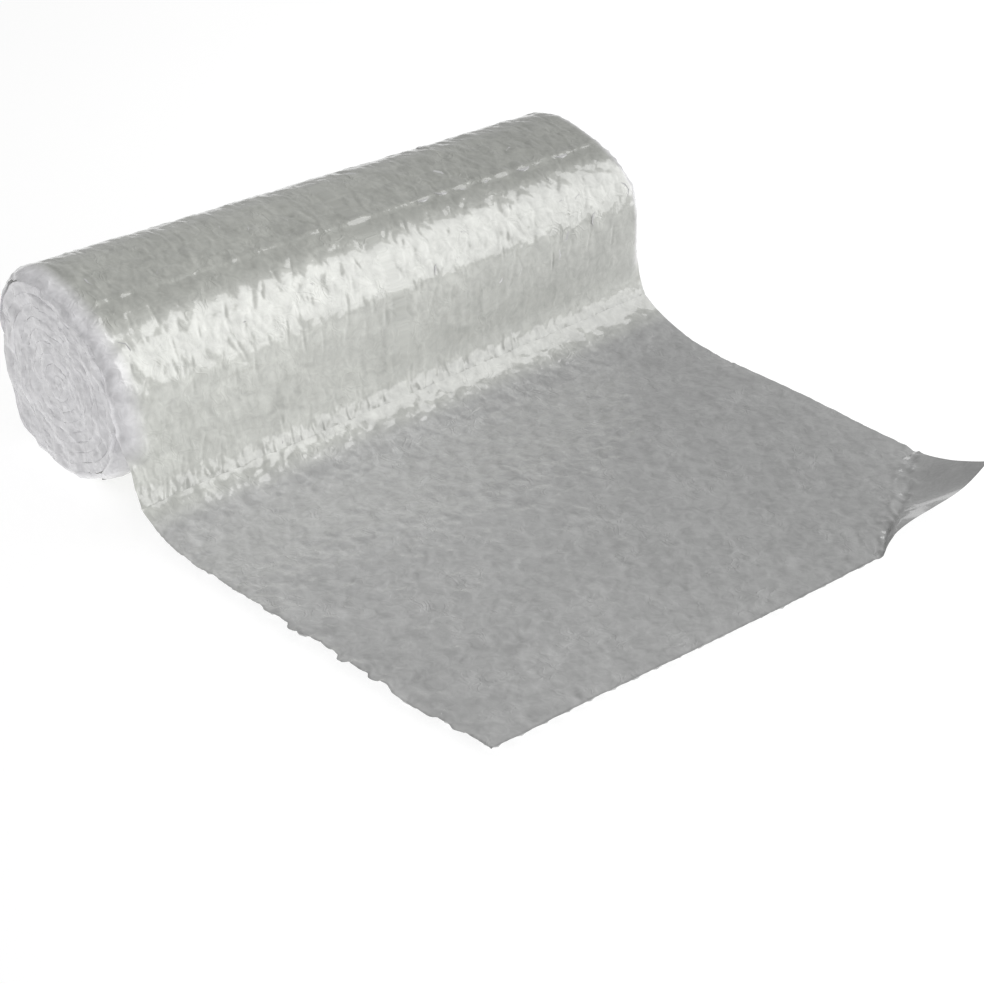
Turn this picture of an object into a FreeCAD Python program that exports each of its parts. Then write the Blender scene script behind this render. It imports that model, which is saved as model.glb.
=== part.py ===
import FreeCAD, Part
import math
import os

# A short roll of bubble wrap that lies on its side, with its loose end spread on the floor.
# The film is one piece: a smooth web outside and rows of air bubbles sealed to its inner side.
# Inside the roll the bubbles are squeezed together, so its turns part only at the two ends.
# The near end of the roll is fuller, and the film hangs further out there.
# The frame: +X along the roll from its near end, -Y towards the loose end, +Z up, in millimetres.
# The origin is on the floor, in the middle of the space that the whole film takes.

doc = FreeCAD.newDocument("bubble_wrap_roll")
sheet = doc.addObject("Spreadsheet::Sheet", "Sizes")

driving_sizes = [
    ("film_width", 300, "width of the film, and length of the roll"),
    ("web_thickness", 0.6, "flat web between two rows of bubbles"),
    ("bubble_height", 4, "bubble above the web"),
    ("bubble_width", 8.6, "row of bubbles at the web, along the film"),
    ("shoulder_width", 7.8, "row of bubbles where its side turns in"),
    ("shoulder_height", 2.9, "web to where the bubble's side turns in"),
    ("bubble_flat", 5, "flat top of a row of bubbles"),
    ("seal_width", 1.8, "flat seal between two rows, along the film"),
    ("quilt_depth", 0.25, "hollow of the smooth face over each seal"),
    ("roll_radius", 51, "far end: roll's axis to the smooth face, where the film leaves the roll"),
    ("near_fullness", 1.3, "how much more that radius is at the near end"),
    ("near_shift", 4.7, "how much nearer the loose end the roll's axis is at the near end"),
    ("flattening", 2.3, "how much less the roll's radius is upright than level"),
    ("turn_clearance", 0.3, "between the bubbles of the outer turn and the turn inside it"),
    ("seam_width", 1.2, "gap between two turns, at the ends of the roll"),
    ("seam_depth", 6, "how far that gap runs in from each end"),
    ("innermost_radius", 8, "where the gap between the turns stops, near the roll's axis"),
    ("rest_sag", 1.5, "how far the roll's own weight flattens each turn"),
    ("near_lean", 12.7, "degrees that the hanging film leans out at the near end"),
    ("bend_radius", 10, "tight bend at the foot of the hanging film"),
    ("sweep_radius", 70, "wide bend that brings the film down flat"),
    ("sweep_angle", 30, "degrees that the film turns in the wide bend"),
    ("lying_length", 193, "far end: film that lies flat, up to its cut edge"),
    ("edge_taper", 15, "how far the lying film's near edge is drawn in at the cut end"),
    ("fold_on_cut_edge", 77, "lifted far corner: its fold, along the cut edge"),
    ("fold_on_side", 50, "lifted far corner: its fold, along the side"),
    ("corner_lift", 22, "degrees that the corner stands up"),
]
for row, (name, value, note) in enumerate(driving_sizes, start=1):
    sheet.set(f"A{row}", note)
    sheet.set(f"B{row}", str(value))
    sheet.setAlias(f"B{row}", name)
doc.recompute()

# Sizes that follow from the driving ones.
film_thickness = sheet.web_thickness + sheet.bubble_height
row_pitch = sheet.bubble_width + sheet.seal_width
full_turn = 2 * math.pi
growth = (film_thickness + sheet.turn_clearance) / full_turn  # radius for each radian wound
to_bottom = 0.75 * full_turn  # wound inwards from the front, over the top and down the back
squash = 1 - sheet.flattening / sheet.roll_radius
sweep_angle = math.radians(sheet.sweep_angle)
sweep_run = sheet.sweep_radius * sweep_angle
sweep_rise = sheet.sweep_radius * (1 - math.cos(sweep_angle))

probe = 0.2  # step along the film that finds its direction
seam_step = math.radians(12)  # the gap between the turns is drawn in straight steps this long


class Winding:
    # The film's run at one end of the roll, from its cut edge up to and round the roll.
    def __init__(self, radius, axis_y, lean):
        self.radius = radius
        self.axis_y = axis_y
        self.lean = lean
        self.bottom_radius = radius - growth * to_bottom
        self.axis_height = self.bottom_radius * squash - sheet.rest_sag
        # The film leaves the roll where the roll's face leans as the film does.
        self.leaves = math.atan(squash * math.tan(lean))
        steep = math.pi / 2 - lean
        self.bend_run = sheet.bend_radius * (steep - sweep_angle)
        self.bend_rise = sheet.bend_radius * (math.cos(sweep_angle) - math.cos(steep))
        self.bend_out = sheet.bend_radius * (math.sin(steep) - math.sin(sweep_angle))
        leaving = self.on_roll(self.leaves)
        bend_top = film_thickness + sweep_rise + self.bend_rise
        self.hanging_run = (leaving.z - bend_top) / math.cos(lean)
        sweep_top_y = leaving.y - self.hanging_run * math.sin(lean) - self.bend_out
        self.lying_y = sweep_top_y - sheet.sweep_radius * math.sin(sweep_angle)

    def lay_down(self, cut_y):
        self.cut_y = cut_y
        self.lying_run = self.lying_y - cut_y
        self.loose_run = self.lying_run + sweep_run + self.bend_run + self.hanging_run
        self.once_round = self.run_at(self.leaves + full_turn)

    def run_at(self, turned):
        # The run along the film, from its cut edge, where it has gone this far round the roll.
        wound = self.radius * turned - growth * turned ** 2 / 2
        return self.loose_run + wound - self.radius * self.leaves + growth * self.leaves ** 2 / 2

    def turned_at(self, run):
        # How far round the roll the film has gone, in radians, at this run along the film.
        wound = run - self.loose_run + self.radius * self.leaves - growth * self.leaves ** 2 / 2
        return (self.radius - math.sqrt(self.radius ** 2 - 2 * growth * max(wound, 0))) / growth

    def pressed_level(self, turned):
        # How far under the axis this turn's flat spot lies.
        turns_inside = round((turned - to_bottom) / full_turn)
        return (self.bottom_radius - growth * full_turn * turns_inside) * squash - sheet.rest_sag

    def on_roll(self, turned):
        # The point of the smooth face this far round the roll, flat where the roll rests.
        radius = self.radius - growth * turned
        level = max(math.sin(turned) * radius * squash, -self.pressed_level(turned))
        return FreeCAD.Vector(0, self.axis_y - radius * math.cos(turned), self.axis_height + level)

    def on_smooth_face(self, run):
        # The point of the smooth face this far along the film, counted from its cut edge.
        if run < self.lying_run:
            return FreeCAD.Vector(0, self.cut_y + run, film_thickness)
        run_in_sweep = run - self.lying_run
        if run_in_sweep < sweep_run:
            angle = run_in_sweep / sheet.sweep_radius
            back = sheet.sweep_radius * math.sin(angle)
            rise = sheet.sweep_radius * (1 - math.cos(angle))
            return FreeCAD.Vector(0, self.lying_y + back, film_thickness + rise)
        run_in_bend = run_in_sweep - sweep_run
        sweep_top_y = self.lying_y + sheet.sweep_radius * math.sin(sweep_angle)
        if run_in_bend < self.bend_run:
            angle = sweep_angle + run_in_bend / sheet.bend_radius
            back = sheet.bend_radius * (math.sin(angle) - math.sin(sweep_angle))
            rise = sheet.bend_radius * (math.cos(sweep_angle) - math.cos(angle))
            return FreeCAD.Vector(0, sweep_top_y + back, film_thickness + sweep_rise + rise)
        up = run_in_bend - self.bend_run
        if up < self.hanging_run:
            return FreeCAD.Vector(0, sweep_top_y + self.bend_out + up * math.sin(self.lean),
                                  film_thickness + sweep_rise + self.bend_rise + up * math.cos(self.lean))
        return self.on_roll(self.turned_at(run))

    def under_smooth_face(self, run, depth):
        # The point at this depth in the film, square to its smooth face.
        along = self.on_smooth_face(run + probe) - self.on_smooth_face(run - probe)
        inward = FreeCAD.Vector(0, along.z, -along.y).normalize()
        return self.on_smooth_face(run) + inward * depth

    def film_outline(self, loose_rows, rows):
        # The film seen along the roll's axis: the outer turn round the roll, and the loose end
        # with its rows of bubbles.
        outline = []
        for row in range(rows):
            outline.append(self.under_smooth_face(row * row_pitch, sheet.quilt_depth))
            outline.append(self.on_smooth_face((row + 0.5) * row_pitch))
        outline.append(self.under_smooth_face(rows * row_pitch, sheet.quilt_depth))
        outline.append(self.under_smooth_face(self.once_round, sheet.quilt_depth))
        outline.append(self.under_smooth_face(self.loose_run, sheet.web_thickness))
        shoulder_depth = sheet.web_thickness + sheet.shoulder_height
        half_row = [(sheet.bubble_width / 2, sheet.web_thickness),
                    (sheet.shoulder_width / 2, shoulder_depth),
                    (sheet.bubble_flat / 2, film_thickness)]
        for row in reversed(range(loose_rows)):
            middle = (row + 0.5) * row_pitch
            outline += [self.under_smooth_face(middle + away, depth) for away, depth in half_row]
            outline += [self.under_smooth_face(middle - away, depth) for away, depth in half_row[::-1]]
        outline.append(self.under_smooth_face(0, sheet.web_thickness))
        return outline

    def seam_outline(self):
        # The gap between the turns: a spiral strip that starts where the hanging film leaves
        # the roll, so its inner wall carries on from the roll's smooth face.
        first = self.leaves + full_turn
        last = (self.radius - sheet.innermost_radius) / growth
        steps = math.ceil((last - first) / seam_step)
        runs = [self.run_at(first + (last - first) * step / steps) for step in range(steps + 1)]
        outer_depth = sheet.quilt_depth - sheet.seam_width
        # Its mouth reaches below the film that closes the roll there, into the free space.
        mouth = self.under_smooth_face(self.once_round - sheet.seam_width, outer_depth)
        outer_wall = [mouth] + [self.under_smooth_face(run, outer_depth) for run in runs]
        inner_wall = [self.under_smooth_face(run, sheet.quilt_depth) for run in runs]
        return outer_wall + inner_wall[::-1]


def outline_feature(name, points, end_sign):
    # A closed outline in the plane of one end of the roll.
    feature = doc.addObject("Part::Feature", name)
    feature.Shape = Part.Face(Part.makePolygon(points + points[:1]))
    feature.setExpression("Placement.Base.x", f"{end_sign} * Sizes.film_width / 2")
    return feature


far = Winding(sheet.roll_radius, 0, 0)
near = Winding(sheet.roll_radius + sheet.near_fullness, -sheet.near_shift, math.radians(sheet.near_lean))
cut_y = far.lying_y - sheet.lying_length
near.lay_down(cut_y)
far.lay_down(cut_y)
loose_rows = math.floor(min(near.loose_run, far.loose_run) / row_pitch)
rows = math.floor(min(near.once_round, far.once_round) / row_pitch)

near_outline = outline_feature("near_outline", near.film_outline(loose_rows, rows), -1)
far_outline = outline_feature("far_outline", far.film_outline(loose_rows, rows), 1)
blank = doc.addObject("Part::Loft", "film_blank")
blank.Sections = [near_outline, far_outline]
blank.Solid = True
blank.Ruled = True

# The near edge of the lying film is drawn in towards the cut end: this wedge is cut away.
beyond = 5  # how far a cutter stands past the film
trim = doc.addObject("Part::Wedge", "edge_trim")
trim.Ymin = cut_y
trim.Ymax = near.lying_y
for bottom, top in (("Zmin", "Zmax"), ("Z2min", "Z2max")):
    trim.setExpression(bottom, f"-{beyond}")
    trim.setExpression(top, f"Sizes.web_thickness + Sizes.bubble_height + {beyond}")
for outside in ("Xmin", "X2min"):
    trim.setExpression(outside, f"-Sizes.film_width / 2 - {beyond}")
trim.setExpression("Xmax", "Sizes.edge_taper - Sizes.film_width / 2")
trim.setExpression("X2max", "-Sizes.film_width / 2")
trimmed = doc.addObject("Part::Cut", "trimmed_film")
trimmed.Base = blank
trimmed.Tool = trim

# The far corner of the cut end is cut off along its fold and set back tilted up.
fold_length = math.hypot(sheet.fold_on_cut_edge, sheet.fold_on_side)
fold_start = FreeCAD.Vector(sheet.film_width / 2 - sheet.fold_on_cut_edge, cut_y, 0)
fold_line = FreeCAD.Vector(sheet.fold_on_cut_edge, sheet.fold_on_side, 0).normalize()
fold_turn = FreeCAD.Rotation(FreeCAD.Vector(1, 0, 0), fold_line)
cutter = doc.addObject("Part::Box", "corner_cutter")
cutter.Length = fold_length + 2 * beyond
cutter.Width = fold_length
cutter.Height = film_thickness + 2 * beyond
cutter_start = fold_start + fold_turn.multVec(FreeCAD.Vector(-beyond, -fold_length, -beyond))
cutter.Placement = FreeCAD.Placement(cutter_start, fold_turn)
flat_film = doc.addObject("Part::Cut", "flat_film")
flat_film.Base = trimmed
flat_film.Tool = cutter
corner = doc.addObject("Part::Common", "lifted_corner")
corner.Base = trimmed
corner.Tool = cutter
lift = FreeCAD.Rotation(fold_line, -sheet.corner_lift)
corner.Placement = FreeCAD.Placement(FreeCAD.Vector(), lift, fold_start)
whole = doc.addObject("Part::Fuse", "whole_film")
whole.Base = flat_film
whole.Tool = corner

# The gap between the turns is cut into both ends of the roll.
seams = []
for name, winding, end_sign in (("near_seam", near, -1), ("far_seam", far, 1)):
    strip = outline_feature(f"{name}_outline", winding.seam_outline(), end_sign)
    seam = doc.addObject("Part::Extrusion", name)
    seam.Base = strip
    seam.DirMode = "Custom"
    seam.Dir = FreeCAD.Vector(-end_sign, 0, 0)
    seam.Solid = True
    seam.setExpression("LengthFwd", "Sizes.seam_depth")
    seam.setExpression("LengthRev", f"{beyond}")
    seams.append(seam)
both_seams = doc.addObject("Part::MultiFuse", "both_seams")
both_seams.Shapes = seams

film = doc.addObject("Part::Cut", "bubble_film")
film.Base = whole
film.Tool = both_seams
film.Label = "bubble_film"
doc.recompute()
box = film.Shape.BoundBox
film.Placement.Base = FreeCAD.Vector(0, -(box.YMin + box.YMax) / 2, 0)

doc.recompute()

for item in doc.Objects:
    if {"Invalid", "Error"} & set(item.State):
        raise RuntimeError(f"{item.Name} did not build: {item.State}")
if film.Shape.isNull() or not film.Shape.isValid() or len(film.Shape.Solids) != 1:
    raise RuntimeError(f"the film is not one sound solid: {len(film.Shape.Solids)} solids")

print("rows of bubbles on the loose end", loose_rows)
print("box", film.Shape.BoundBox, "volume", round(film.Shape.Volume), "mm3")

os.makedirs("parts", exist_ok=True)
film.Shape.exportStep(f"parts/{film.Label}.step")
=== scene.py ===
import bpy
import bmesh
import math
import numpy as np
from mathutils import Matrix, Vector, noise


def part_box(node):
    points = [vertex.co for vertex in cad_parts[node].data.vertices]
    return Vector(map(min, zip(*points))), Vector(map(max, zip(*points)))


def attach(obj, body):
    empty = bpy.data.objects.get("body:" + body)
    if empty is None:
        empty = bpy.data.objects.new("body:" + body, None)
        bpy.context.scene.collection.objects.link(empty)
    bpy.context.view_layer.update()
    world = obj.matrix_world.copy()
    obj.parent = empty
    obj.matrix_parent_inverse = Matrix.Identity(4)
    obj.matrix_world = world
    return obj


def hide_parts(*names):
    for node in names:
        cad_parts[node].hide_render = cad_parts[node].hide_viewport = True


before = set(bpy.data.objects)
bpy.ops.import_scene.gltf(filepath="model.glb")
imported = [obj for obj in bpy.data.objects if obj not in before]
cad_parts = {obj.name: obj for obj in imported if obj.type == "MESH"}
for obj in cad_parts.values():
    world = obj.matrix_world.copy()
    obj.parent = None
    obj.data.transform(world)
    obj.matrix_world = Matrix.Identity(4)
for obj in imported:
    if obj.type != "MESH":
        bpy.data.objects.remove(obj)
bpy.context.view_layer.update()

# A short roll of bubble wrap. X runs along the roll, the loose end is spread towards -Y.
mm = 0.001
lowCorner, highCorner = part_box("bubble_film")

film = {
    "width": highCorner[0] - lowCorner[0],
    "bubblePitch": 12.0 * mm,     # bubble to bubble across the film
    "rowPitch": 10.4 * mm,        # row to row along it, as in the CAD
    "bubbleWidth": 10.0 * mm,
    "overFloor": 0.4 * mm,        # the film's lowest points
    "axisFromBack": 48.4 * mm,    # the roll's axis, in front of the roll's back
    "seed": 7,                    # for the bubbles
}
rollAxisY = highCorner[1] - film["axisFromBack"]

# The film seen along the roll, in mm from the roll's axis and the floor: from the cut edge,
# over the floor, up the hanging stretch and once round the roll. The near end is fuller.
section = {
    "lying": [(-283, 4.3), (-240, 4.6), (-190, 4.4), (-145, 4.8)],
    "near": [(-103, 4.6), (-90, 5.5), (-79, 7.6), (-72.8, 10.1), (-67.9, 12.45), (-66.8, 13),
             (-66.3, 14.1), (-62.9, 22), (-60, 38), (-57.2, 52), (-54, 62), (-47.5, 72), (-38, 80),
             (-23, 86.8), (-5, 91.5), (14, 93.8), (30, 89), (42, 76), (47.5, 57), (46, 36), (38, 14),
             (22, 3.5), (5, 0.4), (-10, 0.5), (-20, 4.5), (-38, 13), (-50, 24), (-54, 42)],
    "far": [(-100, 4.6), (-85, 6), (-72, 9.2), (-62, 12.9), (-55.7, 16.4), (-54.5, 17),
            (-54.05, 18.1), (-50.9, 26), (-50.6, 42), (-50, 57), (-47.8, 67), (-42.4, 75.5),
            (-34, 81.8), (-20, 87.2), (-3, 90.6), (14, 91.2), (30, 86), (42, 73), (47.5, 55),
            (46.5, 35), (37, 16), (22, 4), (10, 0.4), (-8, 0.4), (-22, 4.5), (-36, 16), (-43, 32),
            (-44.8, 50)],
    "crease": 5,                  # the point of the near and far lines where the film bends up
    "nearCentre": (-5, 46),
    "farCentre": (0, 46),
    "samples": 12,
}


def smoothLines(points, samples):
    # Centripetal Catmull-Rom curves through rows of points, all rows at once.
    before = 2 * points[:, :1] - points[:, 1:2]
    after = 2 * points[:, -1:] - points[:, -2:-1]
    points = np.concatenate([before, points, after], axis=1)
    gaps = np.sqrt(np.linalg.norm(np.diff(points, axis=1), axis=2))
    knots = np.concatenate([np.zeros((len(points), 1)), np.cumsum(gaps, axis=1)], axis=1)
    stretches = []
    for i in range(1, points.shape[1] - 2):
        k0, k1, k2, k3 = (knots[:, i + n, None] for n in (-1, 0, 1, 2))
        t = k1 + (k2 - k1) * np.arange(samples)[None, :] / samples

        def blend(a, b, start, end):
            share = ((t - start) / (end - start))[..., None]
            return a * (1 - share) + b * share

        p0, p1, p2, p3 = (points[:, i + n, None, :] for n in (-1, 0, 1, 2))
        a1, a2, a3 = blend(p0, p1, k0, k1), blend(p1, p2, k1, k2), blend(p2, p3, k2, k3)
        b1, b2 = blend(a1, a2, k0, k2), blend(a2, a3, k1, k3)
        stretches.append(blend(b1, b2, k1, k2))
    stretches.append(points[:, -2:-1])
    return np.concatenate(stretches, axis=1)


def walked(lines):
    # How far along each line its points lie.
    steps = np.linalg.norm(np.diff(lines, axis=1), axis=2)
    return np.concatenate([np.zeros((len(lines), 1)), np.cumsum(steps, axis=1)], axis=1)


def filmLines(shares):
    # The section's smooth line at each share of the way from the near end to the far one.
    near = np.array(section["lying"] + section["near"]) * mm
    far = np.array(section["lying"] + section["far"]) * mm
    shares = np.asarray(shares)[:, None, None]
    return smoothLines(near * (1 - shares) + far * shares, section["samples"])


def centreLine(shares):
    near, far = np.array(section["nearCentre"]) * mm, np.array(section["farCentre"]) * mm
    shares = np.asarray(shares)[:, None]
    return near * (1 - shares) + far * shares


def turnStarts(lines, centres):
    # The sample of each line where it passes the front of the roll, level with its centre.
    lying = len(section["lying"]) * section["samples"]
    above = lines[:, lying:, 1] > centres[:, 1:2]
    return lying + np.argmax(above, axis=1)


def stepUp(value, low, high):
    share = np.clip((value - low) / (high - low), 0, 1)
    return share * share * (3 - 2 * share)


def ridge(value, width):
    return np.exp(-(value / width) ** 2)


def wobble(x, y, size, seed):
    # Smooth noise over the flat film, from -1 to 1.
    flat = np.stack([np.ravel(x), np.ravel(y)], axis=1) / size
    values = [noise.noise(Vector((a, b, seed))) for a, b in flat.tolist()]
    return np.array(values).reshape(np.shape(x))


def layer(x, y, look):
    # Smooth noise of a given height, grain size and seed.
    height, size, seed = look
    return height * wobble(x, y, size, seed)


def creased(x, y, size, seed, sharp=0.14):
    # Sharp winding creases, 1 on their lines and 0 between them.
    return 1 - np.minimum(abs(wobble(x, y, size, seed)) / sharp, 1)


def normalsOf(grid):
    across, along = np.gradient(grid, axis=0), np.gradient(grid, axis=1)
    normals = np.cross(across, along)
    return normals / np.maximum(np.linalg.norm(normals, axis=2, keepdims=True), 1e-12)


def gridMesh(name, grid, maps):
    # A sheet through a grid of points, with its UV maps in metres.
    columns, rows = grid.shape[:2]
    bm = bmesh.new()
    bmesh.ops.create_grid(bm, x_segments=columns - 1, y_segments=rows - 1, size=0.5)
    mesh = bpy.data.meshes.new(name)
    bm.to_mesh(mesh)
    bm.free()
    plain = np.empty(len(mesh.vertices) * 3)
    mesh.vertices.foreach_get("co", plain)
    plain = plain.reshape(-1, 3)
    column = np.rint((plain[:, 0] + 0.5) * (columns - 1)).astype(int)
    row = np.rint((plain[:, 1] + 0.5) * (rows - 1)).astype(int)
    mesh.vertices.foreach_set("co", grid[column, row].ravel())
    corners = np.empty(len(mesh.loops), dtype=np.int32)
    mesh.loops.foreach_get("vertex_index", corners)
    for label, (u, v) in maps.items():
        flat = np.stack([u, v], axis=2)[column[corners], row[corners]]
        mesh.uv_layers.new(name=label).data.foreach_set("uv", flat.astype(np.float32).ravel())
    mesh.polygons.foreach_set("use_smooth", [True] * len(mesh.polygons))
    mesh.update()
    piece = bpy.data.objects.new(name, mesh)
    bpy.context.scene.collection.objects.link(piece)
    print(name, len(mesh.polygons), "faces")
    return piece


# The film on the floor and its lifted far corner.
loose = {
    "columns": 300,
    "rows": 262,
    "drawnIn": 15.5 * mm,         # near edge, at the cut end
    "drawnPower": 1.15,
    "spreadOut": 4.5 * mm,        # far edge, past the roll's end
    "taper": 185 * mm,
    "quilt": 0.17 * mm,           # film over one bubble stands this proud of its seals
    "tilt": 0.035,
    "crinkle": 0.2 * mm,
    "puckers": 210,               # short valleys, scattered
    "puckersOn": (12 * mm, 215 * mm),
    "puckerSlant": 62,
    "puckerSize": (0.3 * mm, 0.9 * mm),         # depth and width
    # Layers of smooth noise: height, grain size and seed.
    "edgeWave": (1.1 * mm, 17 * mm, 3.1),
    "edgeNotch": (2.1 * mm, 9 * mm, 8.4),
    "edgeLumps": (0.7 * mm, 7 * mm, 4.3),
    "wave": (0.7 * mm, 60 * mm, 1.7),
    "swell": (0.25 * mm, 16 * mm, 2.9),
    "lumps": (0.2 * mm, 5 * mm, 6.1),
}
corner = {
    "foldStart": (228 * mm, 0.0),     # on the cut edge
    "foldEnd": (303 * mm, 50 * mm),   # on the far edge
    "tipPast": 42 * mm,               # from the fold to the corner
    "tipLift": 16.5 * mm,
    "buckle": 8.5 * mm,
    "tipCurve": 1.5,
    "buckleReach": 0.66,              # of the fold's length
    "buckleTurn": 2.5 * mm,
    "pulledIn": 0.79,
    "sway": 1.3 * mm,                 # how far the fold sways, and how often
    "sways": 9,
    "crinkle": 1.1 * mm,
    "crinkleWidth": 5 * mm,
    "crinkledTo": 90 * mm,            # from the cut edge
}
# The film from the crease up, once round the roll.
rolled = {
    "columns": 600,
    "stretches": [(118, 1.3), (60, 2.1), (190, 4.6)],   # mm along the film, and mm to a row
    "nearRim": (9.0 * mm, 4.7 * mm),  # how far in the roll's end is rounded, and how deep
    "farRim": (5.0 * mm, 4.6 * mm),
    "quilt": 0.2 * mm,
    "leaf": 0.42 * mm,                # soft creases on the top
    "streak": (0.13 * mm, 3.4 * mm, 4.9),         # height, grain size and seed
    "swell": (0.2 * mm, 22 * mm, 2.9),
    "creaseRidge": 0.22 * mm,
    "wrinkleDepth": 0.42 * mm,
    "wrinkleWidth": 0.75 * mm,
    "topRidge": 0.62 * mm,
    "topRidgePlace": 61 * mm,         # past the roll's front, at the near end
    "topRidgeSlope": 0.014,
    "crumple": 0.75 * mm,             # near both ends
    "facet": 0.4 * mm,                # on the shoulder, where the light is reflected
    "lowFacet": 0.26 * mm,            # at the foot of the hanging film
    # Zones past the roll's front: where each starts and is full, or its middle and its width.
    "endsTurnIn": (-24 * mm, -2 * mm),
    "frontStarts": (-46 * mm, -34 * mm),
    "frontEnds": (8 * mm, 18 * mm),
    "topStarts": (46 * mm, 62 * mm),
    "shoulder": (30 * mm, 18 * mm),
    "foot": (-34 * mm, 9 * mm),
    "puckerRows": 5,
    "puckerRowPitch": 9.2 * mm,
    "puckerStart": 8 * mm,
    "puckersKept": 0.84,
    "puckerLean": (22, 16),           # in degrees: the middle and the spread
    "puckerLength": (3, 5.5),         # in mm
    # One longer raised wrinkle across the front: place, lean, length, width and depth.
    "longWrinkle": (65 * mm, 9 * mm, math.radians(92), 16 * mm, 1.0 * mm, -0.4 * mm),
    "lowPuckers": 70,
    "lowPuckersOn": (-42 * mm, -20 * mm),
    "lowPuckerSlant": 20,
    "lowPuckerSize": (0.3 * mm, 0.8 * mm),        # depth and width
}


def layOut(columns, places, fromCrease):
    # The smooth film: its points, and for each how far across, along and past the roll's front it is.
    shares = np.linspace(0, 1, columns + 1)
    lines = filmLines(shares)
    length = walked(lines)
    crease = length[:, (len(section["lying"]) + section["crease"]) * section["samples"]]
    front = length[np.arange(len(shares)), turnStarts(lines, centreLine(shares))]
    start, end = (crease, length[:, -1]) if fromCrease else (0 * crease, crease)
    run = start[:, None] + (end - start)[:, None] * places[None, :]
    y = np.array([np.interp(run[i], length[i], lines[i, :, 0]) for i in range(len(shares))])
    z = np.array([np.interp(run[i], length[i], lines[i, :, 1]) for i in range(len(shares))])
    across = shares[:, None] * film["width"] + 0 * run
    return {"y": y, "z": z, "across": across, "run": run, "crease": crease[:, None],
            "past": run - front[:, None], "length": float((end - start).mean())}


def drawnX(across, run):
    # The film's near edge is drawn in towards the cut end, and wavy, and its far edge spread out.
    runs = np.linspace(0, run.max(), 600)
    lying = np.clip(1 - runs / loose["taper"], 0, 1)
    rippled = stepUp(lying, 0, 0.1)
    near = loose["drawnIn"] * lying ** loose["drawnPower"]
    near += layer(runs, 0 * runs, loose["edgeWave"]) * rippled
    depth, size, seed = loose["edgeNotch"]
    near -= depth * stepUp(wobble(runs, 0 * runs, size, seed), 0.2, 0.6) * rippled
    far = film["width"] + loose["spreadOut"] * stepUp(lying, 0, 0.5)
    near, far = np.interp(run, runs, near), np.interp(run, runs, far)
    return near + (far - near) * across / film["width"]


def foldPlace(x, y):
    # Along the far corner's fold, and past it.
    start, end = np.array(corner["foldStart"]), np.array(corner["foldEnd"])
    length = np.linalg.norm(end - start)
    down = (end - start) / length
    along = (x - start[0]) * down[0] + (y - start[1]) * down[1]
    past = (x - start[0]) * down[1] - (y - start[1]) * down[0]
    return along / length, past + corner["sway"] * np.sin(along / length * corner["sways"]), down


def curled(edge, reach, depth):
    # Where the film's end turns in: how far it still is from the end plane, and how deep.
    quarter = math.pi / 4 * (3 * (reach + depth) - math.sqrt((3 * reach + depth) * (reach + 3 * depth)))
    angle = np.clip(edge / quarter, 0, 1) * math.pi / 2
    return reach * (1 - np.cos(angle)) + np.maximum(edge - quarter, 0), depth * (1 - np.sin(angle))


def quilting(across, run, height, tilt):
    # Each bubble lifts the film over it a little, and tips it its own way.
    row = np.floor(run / film["rowPitch"]).astype(int)
    shift = 0.5 * (row % 2)
    column = np.floor(across / film["bubblePitch"] + shift).astype(int)
    u = (across / film["bubblePitch"] + shift - column - 0.5) * film["bubblePitch"]
    v = (run / film["rowPitch"] - row - 0.5) * film["rowPitch"]
    luck = np.random.default_rng(film["seed"] + 1).random((3, row.max() + 2, column.max() + 2))
    full, tipU, tipV = luck[:, row, column]
    inside = np.clip(1 - (u * u + v * v) / (film["bubbleWidth"] / 2) ** 2, 0, 1)
    tip = tilt * ((2 * tipU - 1) * u + (2 * tipV - 1) * v) * np.sqrt(inside)
    return height * (0.3 + 0.9 * full) * inside + tip


def wrinkled(across, along, places, seed):
    # Short valleys in the film: where, how they lean, how long, how wide and how deep they are.
    luck = np.random.default_rng(seed)
    total = np.zeros_like(across)
    for u0, v0, lean, length, width, depth in places:
        bend = luck.uniform(-14, 14)
        near = (abs(across - u0) < 2.2 * length) & (abs(along - v0) < 2.2 * length)
        u, v = across[near] - u0, along[near] - v0
        onLine = u * math.sin(lean) + v * math.cos(lean)
        offLine = u * math.cos(lean) - v * math.sin(lean) + bend * onLine ** 2
        total[near] -= depth * np.exp(-(onLine / length) ** 4) * ridge(offLine, width)
    return total


def scattered(count, start, end, slant, depth, width, seed):
    luck = np.random.default_rng(seed)
    places = []
    for _ in range(count):
        lean = math.radians(luck.normal(slant, 12))
        places.append((luck.uniform(0, film["width"]), luck.uniform(start, end), lean,
                       luck.uniform(3, 7) * mm, width * luck.uniform(0.7, 1.4), depth * luck.uniform(0.4, 1)))
    return places


def liftCorner(grid, across, run, along, pastFold, down):
    # The corner stands up past a crinkled fold, steepest at the fold's near end.
    past = np.maximum(pastFold, 0)
    steep = corner["buckle"] * (1 - stepUp(along, 0, corner["buckleReach"]))
    steep = steep * (1 - np.exp(-past / corner["buckleTurn"]))
    grid[..., 2] += steep + corner["tipLift"] * (past / corner["tipPast"]) ** corner["tipCurve"]
    grid[..., 0] -= past * (1 - corner["pulledIn"]) * down[1]
    grid[..., 1] += past * (1 - corner["pulledIn"]) * down[0]
    atFold = ridge(pastFold + 1 * mm, corner["crinkleWidth"]) * (run < corner["crinkledTo"])
    folds = wobble(across, run, 5 * mm, 5.5) + 0.9 * creased(across, run, 7 * mm, 2.6, 0.2)
    grid[..., 2] += corner["crinkle"] * atFold * folds


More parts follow.
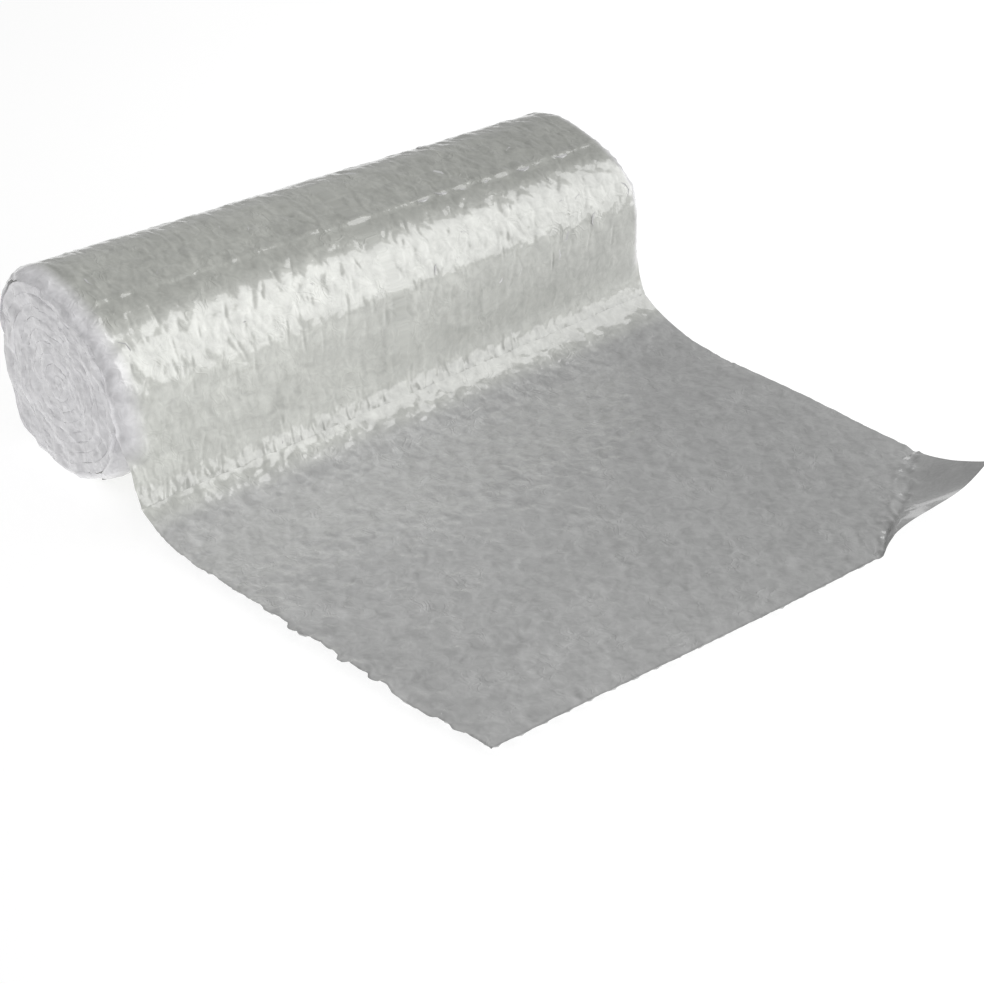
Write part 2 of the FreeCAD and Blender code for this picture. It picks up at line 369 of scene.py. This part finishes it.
def makeLooseFilm():
    flat = layOut(loose["columns"], np.linspace(0, 1, loose["rows"] + 1), False)
    across, run = flat["across"], flat["run"]
    x = drawnX(across, run)
    along, pastFold, down = foldPlace(x, run)
    grid = np.stack([lowCorner[0] + x, rollAxisY + flat["y"], flat["z"]], axis=2)
    normals = normalsOf(grid)
    onFloor = 1 - stepUp(pastFold, -5 * mm, 3 * mm)      # bubbles show only up to the fold
    raised = quilting(across, run, loose["quilt"], loose["tilt"]) * onFloor
    raised += layer(across, run, loose["wave"]) * stepUp(flat["crease"] - run, 0, 40 * mm)
    raised += layer(across, run, loose["swell"])
    patchy = 0.45 + 0.55 * stepUp(wobble(across, run, 24 * mm, 5.8), -0.3, 0.3)
    lines = creased(across, 0.75 * run, 8 * mm, 4.4) - 0.8 * creased(0.8 * across, run, 6.2 * mm, 9.1)
    raised += loose["crinkle"] * patchy * lines * onFloor
    raised += layer(across, run, loose["lumps"]) * onFloor
    nearEdge = (1 - stepUp(across, 1 * mm, 15 * mm)) * stepUp(flat["crease"] - run, 0, 20 * mm)
    height, size, seed = loose["edgeLumps"]
    edgeLumps = wobble(across, run, size, seed) + 0.6 * creased(across, run, 6 * mm, 8.2)
    raised += height * nearEdge * edgeLumps
    puckers = scattered(loose["puckers"], *loose["puckersOn"], loose["puckerSlant"], *loose["puckerSize"], 23)
    raised += wrinkled(across, run, puckers, 24) * onFloor
    raised += rolled["creaseRidge"] * ridge(run - flat["crease"], 1.6 * mm)
    grid = grid + normals * raised[..., None]
    liftCorner(grid, across, run, along, pastFold, down)
    grid[..., 2] = np.maximum(grid[..., 2], film["overFloor"])
    piece = gridMesh("looseFilm", grid, {"film": (across, run), "roll": (flat["past"], onFloor - 1)})
    return piece, grid, flat, onFloor


def endBulge(y, z):
    # The squeezed ends of the turns stand in and out together.
    lumps = 1.5 * wobble(y, z, 13 * mm, 1.1) + 0.8 * wobble(y, z, 5 * mm, 7.7)
    return mm * (lumps + 0.4 * creased(y, z, 6 * mm, 3.1, 0.25) - 0.4 * creased(y, z, 5 * mm, 6.4, 0.25))


def rowPlaces():
    # Where the rolled film's rows lie, from 0 to 1: close together in front, further apart behind.
    total = sum(length for length, _ in rolled["stretches"])
    places, start = [0.0], 0
    for length, step in rolled["stretches"]:
        count = round(length / step)
        places += [(start + length * (i + 1) / count) / total for i in range(count)]
        start += length
    return np.array(places)


def shoulderPuckers():
    # Puckers where the film bends over the shoulder, about one to a bubble.
    luck = np.random.default_rng(21)
    places = []
    for row in range(rolled["puckerRows"]):
        for column in range(round(film["width"] / film["bubblePitch"]) + 1):
            if luck.random() < rolled["puckersKept"]:
                u0 = (column + 0.5 * (row % 2) + luck.normal(0, 0.12)) * film["bubblePitch"]
                v0 = rolled["puckerStart"] + rolled["puckerRowPitch"] * row + luck.normal(0, 1.4) * mm
                lean = math.radians(luck.normal(*rolled["puckerLean"]))
                places.append((u0, v0, lean, luck.uniform(*rolled["puckerLength"]) * mm,
                               rolled["wrinkleWidth"] * luck.uniform(0.7, 1.5),
                               rolled["wrinkleDepth"] * luck.uniform(0.35, 1)))
    return places


def makeRolledFilm():
    flat = layOut(rolled["columns"], rowPlaces(), True)
    across, run, past = flat["across"], flat["run"], flat["past"]
    # On the roll and the top of the hanging film both ends turn in.
    onRoll = stepUp(past, *rolled["endsTurnIn"])
    nearX, nearDepth = curled(across, *rolled["nearRim"])
    farX, farDepth = curled(film["width"] - across, *rolled["farRim"])
    turnedX = np.where(across < film["width"] / 2, nearX, film["width"] - farX)
    x = drawnX(across, run) * (1 - onRoll) + turnedX * onRoll
    nearEnd = (1 - stepUp(across, 2 * mm, 13 * mm)) * onRoll
    farEnd = (1 - stepUp(film["width"] - across, 1 * mm, 9 * mm)) * onRoll
    x += np.where(nearEnd > 0, nearEnd * endBulge(flat["y"], flat["z"]), 0)
    x += np.where(farEnd > 0, farEnd * endBulge(flat["y"] + 0.3, flat["z"]), 0)
    grid = np.stack([lowCorner[0] + x, rollAxisY + flat["y"], flat["z"]], axis=2)
    normals = normalsOf(grid)
    raised = -(nearDepth + farDepth) * onRoll
    onTop = stepUp(past, *rolled["topStarts"])
    onFront = stepUp(past, *rolled["frontStarts"]) * (1 - stepUp(past, *rolled["frontEnds"]))
    middle, width = rolled["shoulder"]
    onBand = ridge(past - middle, width)
    middle, width = rolled["foot"]
    onFoot = ridge(past - middle, width)
    raised += quilting(across, run, rolled["quilt"], 0.02) * (1 - 0.6 * onFront + 1.2 * onBand)
    raised += layer(across, run, rolled["swell"])
    raised += layer(across, 0.12 * run, rolled["streak"]) * onFront
    leaf = wobble(across + 0.25 * run, 0.8 * run, 7 * mm, 3.7)
    veins = creased(across, 0.8 * run, 7.5 * mm, 5.2, 0.25)
    veins -= creased(across + 0.4 * run, run, 5.5 * mm, 9.4, 0.25)
    raised += rolled["leaf"] * (0.12 + 0.88 * onTop) * (0.7 * leaf + 0.6 * veins)
    crumple = 1.3 * np.exp(-across / (14 * mm)) + 0.6 * np.exp(-(film["width"] - across) / (8 * mm))
    crumpled = wobble(across, run, 7 * mm, 4.3) + 0.4 * creased(across, run, 6 * mm, 8.2)
    raised += rolled["crumple"] * crumple * crumpled
    raised += wrinkled(across, past, shoulderPuckers() + [rolled["longWrinkle"]], 31)
    low = scattered(rolled["lowPuckers"], *rolled["lowPuckersOn"], rolled["lowPuckerSlant"],
                    *rolled["lowPuckerSize"], 22)
    raised += wrinkled(across, past, low, 32)
    facets = wobble(across, run, 7 * mm, 8.8) - 0.6 * creased(across, run, 9 * mm, 1.9)
    raised += rolled["facet"] * onBand * facets
    raised += rolled["lowFacet"] * onFoot * (facets + creased(across, run, 6 * mm, 3.9))
    # The crease at the foot, and a fine ridge along the top.
    raised += rolled["creaseRidge"] * ridge(run - flat["crease"], 1.6 * mm)
    top = rolled["topRidgePlace"] - rolled["topRidgeSlope"] * across
    top += 0.8 * mm * wobble(across, 0 * run, 11 * mm, 2.2)
    broken = stepUp(wobble(across, run, 7 * mm, 6.6), -0.35, 0.25)
    raised += rolled["topRidge"] * (0.5 + 0.5 * broken) * ridge(past - top, 1.35 * mm)
    grid = grid + normals * raised[..., None]
    grid[..., 2] = np.maximum(grid[..., 2], film["overFloor"])
    atNear = 1 - stepUp(across, 3 * mm, 17 * mm)
    atEnd = np.maximum(atNear, 1 - stepUp(film["width"] - across, 2 * mm, 10 * mm))
    piece = gridMesh("rolledFilm", grid, {"film": (across, run), "roll": (past, atEnd * onRoll)})
    return piece, grid, flat


# The rest of the film, wound to the middle. At both ends each turn curves over to the next one.
inner = {
    "turnShare": 0.0972,          # each turn is this much of the outer radius smaller
    "turns": 9.75,
    "bulgeDepth": 0.5 * mm,       # of the groove between two turns at the ends
    "bulgeColumns": 11,
    "plainColumns": 10,
    "plainFrom": 9 * mm,
    "step": 1.5 * mm,
}


def outerRadii(lines, centres, even):
    # The roll's outer radius at even angles, as it would be if the first turn didn't get smaller.
    radii = []
    for line, centre, start in zip(lines, centres, turnStarts(lines, centres)):
        around = line[start:] - centre
        angle = np.unwrap(np.arctan2(around[:, 1], -around[:, 0]))
        share = inner["turnShare"] * angle / (2 * math.pi)
        radii.append(np.interp(even, angle, np.hypot(around[:, 0], around[:, 1]) / (1 - share)))
    return np.array(radii)


def makeInnerTurns():
    bend = np.linspace(math.pi, 0, inner["bulgeColumns"])      # from the turn's inner side out
    straight = np.linspace(inner["plainFrom"], film["width"] - inner["plainFrom"], inner["plainColumns"])
    shares = np.concatenate([0 * bend, straight / film["width"], 0 * bend + 1])
    lines, centres = filmLines(shares), centreLine(shares)
    even = np.linspace(0, 2 * math.pi, 240, endpoint=False)
    outerTurn = outerRadii(lines, centres, even)
    # Even steps along the film, so the angle's step grows as the turns get smaller.
    angles, angle, meanRadius = [], 2 * math.pi * 0.96, outerTurn.mean()
    while angle < 2 * math.pi * inner["turns"]:
        angles.append(angle)
        left = meanRadius * (1 - inner["turnShare"] * angle / (2 * math.pi))
        angle += inner["step"] / max(left, 3 * mm)
    angles = np.array(angles)
    full = np.array([np.interp(angles % (2 * math.pi), even, row, period=2 * math.pi) for row in outerTurn])
    radius = full * (1 - inner["turnShare"] * angles / (2 * math.pi))[None, :]
    turnPitch = full * inner["turnShare"]
    inward = np.concatenate([(1 - np.cos(bend)) / 2, 0 * straight, (1 - np.cos(bend[::-1])) / 2])
    radius = np.maximum(radius - turnPitch * inward[:, None], 0.2 * mm)
    uneven = np.clip(0.1 + 1.6 * wobble(angles * 6, angles, 1.3, 9.2), 0, 1)      # shut in places
    bulge = inner["bulgeDepth"] * uneven[None, :] * (1 - np.sin(bend))[:, None] ** 3
    y = -radius * np.cos(angles)[None, :] + centres[:, :1]
    z = radius * np.sin(angles)[None, :] + centres[:, 1:]
    count = len(bend)
    nearX = bulge + endBulge(y[:count], z[:count])
    farX = film["width"] - bulge[::-1] + endBulge(y[-count:] + 0.3, z[-count:])
    x = np.concatenate([nearX, np.repeat(straight[:, None], len(angles), axis=1), farX])
    grid = np.stack([lowCorner[0] + x, rollAxisY + y, np.maximum(z, 0.6 * mm)], axis=2)
    run = 0.6 + np.arange(len(angles)) * inner["step"] + 0 * x
    edge = np.linspace(0, 0.8 * inner["plainFrom"], count)
    across = np.concatenate([edge, straight, film["width"] - edge[::-1]])[:, None] + 0 * x
    atEnd = np.concatenate([0 * bend + 1, 0 * straight, 0 * bend + 1])[:, None] + 0 * x
    piece = gridMesh("innerTurns", grid, {"film": (across, run), "roll": (0.2 + 0 * x, atEnd)})
    return piece, len(angles) * inner["step"]


# Bubbles: a small closed dome under every place of the lattice.
bubble = {
    "height": 3.5 * mm,
    "mouth": 4.5 * mm,            # radius at the film
    "inset": 1.0 * mm,            # under the film's outer side
    "around": 8,
    "rings": 6,
}


def domeMesh():
    bm = bmesh.new()
    bmesh.ops.create_uvsphere(bm, u_segments=bubble["around"], v_segments=bubble["rings"], radius=1)
    whole = bm.verts[:] + bm.edges[:] + bm.faces[:]
    bmesh.ops.bisect_plane(bm, geom=whole, plane_co=(0, 0, 0), plane_no=(0, 0, 1), clear_outer=True)
    bmesh.ops.holes_fill(bm, edges=bm.edges[:], sides=bubble["around"])
    for vertex in bm.verts:
        vertex.co.z = -max(-vertex.co.z, 0) ** 0.8     # fuller than half a ball
    mesh = bpy.data.meshes.new("dome")
    bm.to_mesh(mesh)
    bm.free()
    return mesh


def makeBubbles(name, grid, flat, allowed):
    # Domes hang from the film's inner side, square to it.
    normals, across, run = normalsOf(grid), flat["across"][:, 0], flat["run"]
    luck = np.random.default_rng(film["seed"] + 2)
    places, end = [], film["width"] / film["bubblePitch"] - 0.3
    for row in range(int(run.max() / film["rowPitch"]) + 1):
        for u in np.arange(0.5 + 0.5 * (row % 2), end) * film["bubblePitch"]:
            i = np.searchsorted(across, u)
            target = (row + 0.5) * film["rowPitch"]
            size = luck.uniform(0.85, 1.04)
            if run[i, 0] < target < run[i, -1] - 4 * mm:
                j = np.searchsorted(run[i], target)
                if allowed[i, j]:
                    places.append((grid[i, j], normals[i, j], size))
    dome = domeMesh()
    bm = bmesh.new()
    for _ in places:
        bm.from_mesh(dome)
    mesh = bpy.data.meshes.new(name)
    bm.to_mesh(mesh)
    bm.free()
    co = np.empty(len(mesh.vertices) * 3)
    mesh.vertices.foreach_get("co", co)
    co = co.reshape(len(places), len(dome.vertices), 3)
    for k, (place, normal, size) in enumerate(places):
        turn = np.array(Vector(normal).to_track_quat("Z", "X").to_matrix())
        scale = np.array([bubble["mouth"], bubble["mouth"], bubble["height"] * size])
        co[k] = (co[k] * scale) @ turn.T + place - normal * bubble["inset"]
    co[..., 2] = np.maximum(co[..., 2], 0.05 * mm)
    mesh.vertices.foreach_set("co", co.ravel())
    mesh.polygons.foreach_set("use_smooth", [True] * len(mesh.polygons))
    mesh.update()
    piece = bpy.data.objects.new(name, mesh)
    bpy.context.scene.collection.objects.link(piece)
    print(name, len(places), "bubbles,", len(mesh.polygons), "faces")
    return piece


class Signal:
    # A socket that takes part in sums: each operator adds a Math node.
    def __init__(self, bench, socket):
        self.bench, self.socket = bench, socket

    def __add__(self, other):
        return self.bench.maths("ADD", self, other)

    def __sub__(self, other):
        return self.bench.maths("SUBTRACT", self, other)

    def __mul__(self, other):
        return self.bench.maths("MULTIPLY", self, other)

    def __truediv__(self, other):
        return self.bench.maths("DIVIDE", self, other)

    def __pow__(self, other):
        return self.bench.maths("POWER", self, other)

    def __rsub__(self, other):
        return self.bench.maths("SUBTRACT", other, self)

    __radd__, __rmul__ = __add__, __mul__

    def floor(self):
        return self.bench.maths("FLOOR", self)

    def size(self):
        return self.bench.maths("ABSOLUTE", self)

    def ramp(self, low, high):
        # 0 at low, 1 at high, smooth between.
        settings = {"interpolation_type": "SMOOTHSTEP"}
        inputs = {"Value": self, "From Min": low, "From Max": high}
        return self.bench.out(self.bench.add("ShaderNodeMapRange", settings, inputs))


class Bench:
    # One material and its nodes.
    def __init__(self, name):
        self.material = bpy.data.materials.new(name)
        self.material.use_nodes = True
        self.tree = self.material.node_tree
        self.tree.nodes.clear()

    def add(self, kind, settings={}, inputs={}):
        node = self.tree.nodes.new(kind)
        for name, value in settings.items():
            setattr(node, name, value)
        for key, value in inputs.items():
            if isinstance(value, Signal):
                self.tree.links.new(value.socket, node.inputs[key])
            else:
                node.inputs[key].default_value = value
        return node

    def out(self, node, key=0):
        return Signal(self, node.outputs[key])

    def maths(self, operation, *values):
        return self.out(self.add("ShaderNodeMath", {"operation": operation}, dict(enumerate(values))))

    def placeOn(self, label):
        # The two numbers of a UV map, and the map itself.
        place = self.out(self.add("ShaderNodeUVMap", {"uv_map": label}))
        parts = self.add("ShaderNodeSeparateXYZ", {}, {"Vector": place})
        return place, self.out(parts, "X"), self.out(parts, "Y")

    def mix(self, share, first, second, how="MIX"):
        settings = {"data_type": "RGBA", "blend_type": how}
        return self.out(self.add("ShaderNodeMix", settings, {0: share, 6: first, 7: second}), 2)

    def grey(self, tone):
        return self.out(self.add("ShaderNodeCombineColor", {}, {"Red": tone, "Green": tone, "Blue": tone}))

    def finish(self, shader):
        self.add("ShaderNodeOutputMaterial", {}, {"Surface": self.out(shader)})
        return self.material


filmLook = {
    "lyingColour": (0.275, 0.277, 0.275, 1),
    "sheenPaintedColour": (0.415, 0.417, 0.414, 1),     # painted sheen: the lying film lighter nearer the roll and its near end, where it reflects the roll
    # painted light on the roll's front and painted shade on its top: lit and shaded copies of the film's
    # colour
    "litFrontColour": (0.585, 0.594, 0.557, 1),
    "shadedTopColour": (0.37, 0.377, 0.348, 1),
    "endColour": (0.755, 0.748, 0.768, 1),
    "flapColour": (0.252, 0.254, 0.252, 1),
    "alpha": 0.98,
    "roughness": 0.30,
    "crinkle": 0.3 * mm,
    # How many grains of haze, creases, leaf marks and fine marks there are to a metre.
    "hazeGrain": 48,
    "creaseGrain": 140,
    "leafGrain": 120,
    "fineGrain": 230,
    # Zones past the roll's front: where each starts and is full.
    "rollStarts": (-0.052, -0.036),
    "topStarts": (0.036, 0.052),
    "footStarts": (-0.05, -0.042),
    "footEnds": (-0.032, -0.024),
    "smoothStarts": (-0.045, -0.03),
    "smoothEnds": (0.008, 0.02),
}


def makeFilmMaterial():
    look = filmLook
    bench = Bench("clearFilm")
    place, across, along = bench.placeOn("film")
    _, past, kind = bench.placeOn("roll")      # past the roll's front; 1 at its ends, -1 on the flap
    row = (along / film["rowPitch"]).floor()
    odd = row - (row / 2).floor() * 2
    spot = across / film["bubblePitch"] + odd * 0.5
    column = spot.floor()
    u = (spot - column - 0.5) * film["bubblePitch"]
    v = (along / film["rowPitch"] - row - 0.5) * film["rowPitch"]
    away = (u * u + v * v) ** 0.5 / (film["bubbleWidth"] / 2)    # 1 at the bubble's rim
    cell = bench.out(bench.add("ShaderNodeCombineXYZ", {}, {"X": column, "Y": row}))
    dice = bench.add("ShaderNodeTexWhiteNoise", {"noise_dimensions": "2D"}, {"Vector": cell})
    luck = bench.out(dice, "Value")

    def grain(scale, detail, distortion=0.0):
        inputs = {"Vector": place, "Scale": scale, "Detail": detail, "Distortion": distortion}
        return bench.out(bench.add("ShaderNodeTexNoise", {"noise_dimensions": "2D"}, inputs), 0)

    haze = grain(look["hazeGrain"], 2)
    fine = grain(look["fineGrain"], 3, 1.2)
    crease = 1 - (grain(look["creaseGrain"], 2, 0.7) - 0.5).size().ramp(0.0, 0.11)
    onRoll = past.ramp(*look["rollStarts"])
    onFlap = (0 - kind).ramp(0.1, 0.9)
    atEnd = kind.ramp(0.05, 0.95)
    inside = 1 - onFlap
    rim = away.ramp(0.74, 0.98) * (1 - away.ramp(1.0, 1.18)) * inside
    # Painted sheen: the lying film is lighter nearer the roll and towards its near end, standing in for the
    # roll's reflection in it.
    paintedSheen = (1 - across.ramp(0.02, 0.27)) * (along.ramp(0.05, 0.19) * 0.4 + 0.6)
    leafy = grain(look["leafGrain"], 1, 0.9) - 0.5
    # Painted shade: the bright reflected band at the foot of the hanging film is darkened.
    paintedFootShade = past.ramp(*look["footStarts"]) * (1 - past.ramp(*look["footEnds"])) * onRoll
    base = bench.mix(paintedSheen, look["lyingColour"], look["sheenPaintedColour"])
    # Painted light and shade: the roll's front is a lighter copy of the film and its top a darker one.
    base = bench.mix(onRoll, base, look["litFrontColour"])
    base = bench.mix(past.ramp(*look["topStarts"]), base, look["shadedTopColour"])
    base = bench.mix(atEnd, base, look["endColour"])
    base = bench.mix(onFlap, base, look["flapColour"])
    # Painted shade: a thin dark line along the lying film's cut edge and its near edge.
    shadedCutEdge = (1 - along.ramp(0.0004, 0.0016)) + (1 - across.ramp(0.0004, 0.0014)) * (1 - onRoll)
    tone = 0.85 + haze * 0.2 + luck * inside * 0.05 - rim * 0.02 + (fine - 0.5) * 0.3 + leafy * 0.32
    # Painted shade: the roll's far half is made greyer.
    tone = (tone - shadedCutEdge * 0.2 - paintedFootShade * 0.16) * (1 - across.ramp(0.06, 0.3) * onRoll * 0.25)
    colour = bench.mix(1.0, base, bench.grey(tone), "MULTIPLY")
    front = past.ramp(*look["smoothStarts"]) * (1 - past.ramp(*look["smoothEnds"]))    # the smoothest film
    glints = crease * (0.12 + haze.ramp(0.5, 0.66) * 0.88) * inside
    height = fine * (0.4 + atEnd * 0.5) + glints * 0.42 + away.ramp(1.15, 0.75) * 0.08 * inside
    height = height * (1 - front * 0.55)
    bump = bench.add("ShaderNodeBump", {}, {"Strength": 1.0, "Distance": look["crinkle"], "Height": height})
    inputs = {"Base Color": colour, "Roughness": look["roughness"] + haze * 0.12, "Alpha": look["alpha"],
              "Normal": bench.out(bump), "IOR": 1.52, "Coat Weight": 1.0, "Coat Roughness": 0.07}
    return bench.finish(bench.add("ShaderNodeBsdfPrincipled", {}, inputs))


bubbleLook = {
    "tone": 0.42,
    "hazeTone": 0.14,             # how much lighter the haze makes it
    "hazeGrain": 120.0,
    "roughness": 0.14,
}


def makeBubbleMaterial():
    look = bubbleLook
    bench = Bench("bubbleFilm")
    place = bench.out(bench.add("ShaderNodeTexCoord"), "Object")
    noiseInputs = {"Vector": place, "Scale": look["hazeGrain"], "Detail": 1.0}
    haze = bench.out(bench.add("ShaderNodeTexNoise", {}, noiseInputs), 0)
    tone = look["tone"] + haze * look["hazeTone"]
    bump = bench.add("ShaderNodeBump", {}, {"Strength": 0.5, "Distance": 0.2 * mm, "Height": haze})
    inputs = {"Base Color": bench.grey(tone), "Roughness": look["roughness"], "Normal": bench.out(bump),
              "IOR": 1.5, "Coat Weight": 0.4}
    return bench.finish(bench.add("ShaderNodeBsdfPrincipled", {}, inputs))


def dress(piece, material):
    piece.data.materials.append(material)
    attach(piece, "root")
    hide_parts("bubble_film")


looseFilm, looseGrid, looseFlat, onFloor = makeLooseFilm()
rolledFilm, rolledGrid, rolledFlat = makeRolledFilm()
innerTurns, innerLength = makeInnerTurns()
looseBubbles = makeBubbles("looseBubbles", looseGrid, looseFlat, onFloor > 0.99)
clearOfRims = abs(rolledFlat["across"] - film["width"] / 2) < film["width"] / 2 - 9 * mm
rolledBubbles = makeBubbles("rolledBubbles", rolledGrid, rolledFlat, clearOfRims)

filmMaterial, bubbleMaterial = makeFilmMaterial(), makeBubbleMaterial()
for piece in (looseFilm, rolledFilm, innerTurns):
    dress(piece, filmMaterial)
for piece in (looseBubbles, rolledBubbles):
    dress(piece, bubbleMaterial)
print("materials done")

# Floor, light and camera.
studio = {
    "floorSize": 8.0,
    "floorColour": (0.6, 0.6, 0.6, 1),
    "floorGlow": 0.47,                     # so that the floor stays pale round the film
    "worldStrength": 0.5,
    "panelPlace": (1.196, -0.697, 0.986),
    "panelSide": (0.545, 0.839, 0.0),      # along the panel's width
    "panelSize": (1.9, 1.9),
    "panelShift": (-0.1, 0.15),            # along its width and its height
    "panelPower": 31.0,
    "panelAim": (0, 0.08, 0.06),           # a point in the roll
}
view = {
    "place": (-0.59867, -0.73210, 0.55168),
    "forward": (0.54446563, 0.66472571, -0.51156319),
    "up": (0.32258668, 0.39703623, 0.85924389),
    "lens": 89.597,
}


def makeFloor():
    bm = bmesh.new()
    bmesh.ops.create_grid(bm, x_segments=1, y_segments=1, size=studio["floorSize"] / 2)
    bmesh.ops.translate(bm, verts=bm.verts[:], vec=(0, 0, -0.3 * mm))
    mesh = bpy.data.meshes.new("floor")
    bm.to_mesh(mesh)
    bm.free()
    floor = bpy.data.objects.new("floor", mesh)
    bpy.context.scene.collection.objects.link(floor)
    bench = Bench("paleFloor")
    inputs = {"Base Color": studio["floorColour"], "Roughness": 0.9, "Specular IOR Level": 0.1,
              "Emission Color": (1, 1, 1, 1), "Emission Strength": studio["floorGlow"]}
    floor.data.materials.append(bench.finish(bench.add("ShaderNodeBsdfPrincipled", {}, inputs)))


def makePanel():
    # A soft light whose reflection is the bright band along the roll's shoulder. It throws no shadow.
    lamp = bpy.data.lights.new("softPanel", "AREA")
    lamp.shape = "RECTANGLE"
    lamp.size, lamp.size_y = studio["panelSize"]
    lamp.energy = studio["panelPower"]
    lamp.use_shadow = False
    side = Vector(studio["panelSide"]).normalized()
    out = (Vector(studio["panelPlace"]) - Vector(studio["panelAim"])).normalized()
    upward = out.cross(side).normalized()
    place = Vector(studio["panelPlace"]) + side * studio["panelShift"][0] + upward * studio["panelShift"][1]
    holder = bpy.data.objects.new("softPanel", lamp)
    holder.matrix_world = Matrix.Translation(place) @ Matrix((side, upward, out)).transposed().to_4x4()
    bpy.context.scene.collection.objects.link(holder)


def makeCamera():
    camera = bpy.data.cameras.new("photoCamera")
    camera.lens = view["lens"]
    camera.sensor_width = 36
    camera.clip_start, camera.clip_end = 0.05, 50
    holder = bpy.data.objects.new("photoCamera", camera)
    forward, up = Vector(view["forward"]), Vector(view["up"])
    right = forward.cross(up).normalized()
    up = right.cross(forward).normalized()
    turn = Matrix((right, up, -forward)).transposed().to_4x4()
    holder.matrix_world = Matrix.Translation(view["place"]) @ turn
    bpy.context.scene.collection.objects.link(holder)
    bpy.context.scene.camera = holder


makeFloor()
makePanel()
world = bpy.data.worlds.new("paleRoom")
world.use_nodes = True
world.node_tree.nodes["Background"].inputs["Color"].default_value = (1, 1, 1, 1)
world.node_tree.nodes["Background"].inputs["Strength"].default_value = studio["worldStrength"]
bpy.context.scene.world = world
bpy.context.scene.view_settings.view_transform = "Standard"
makeCamera()
print("studio done")
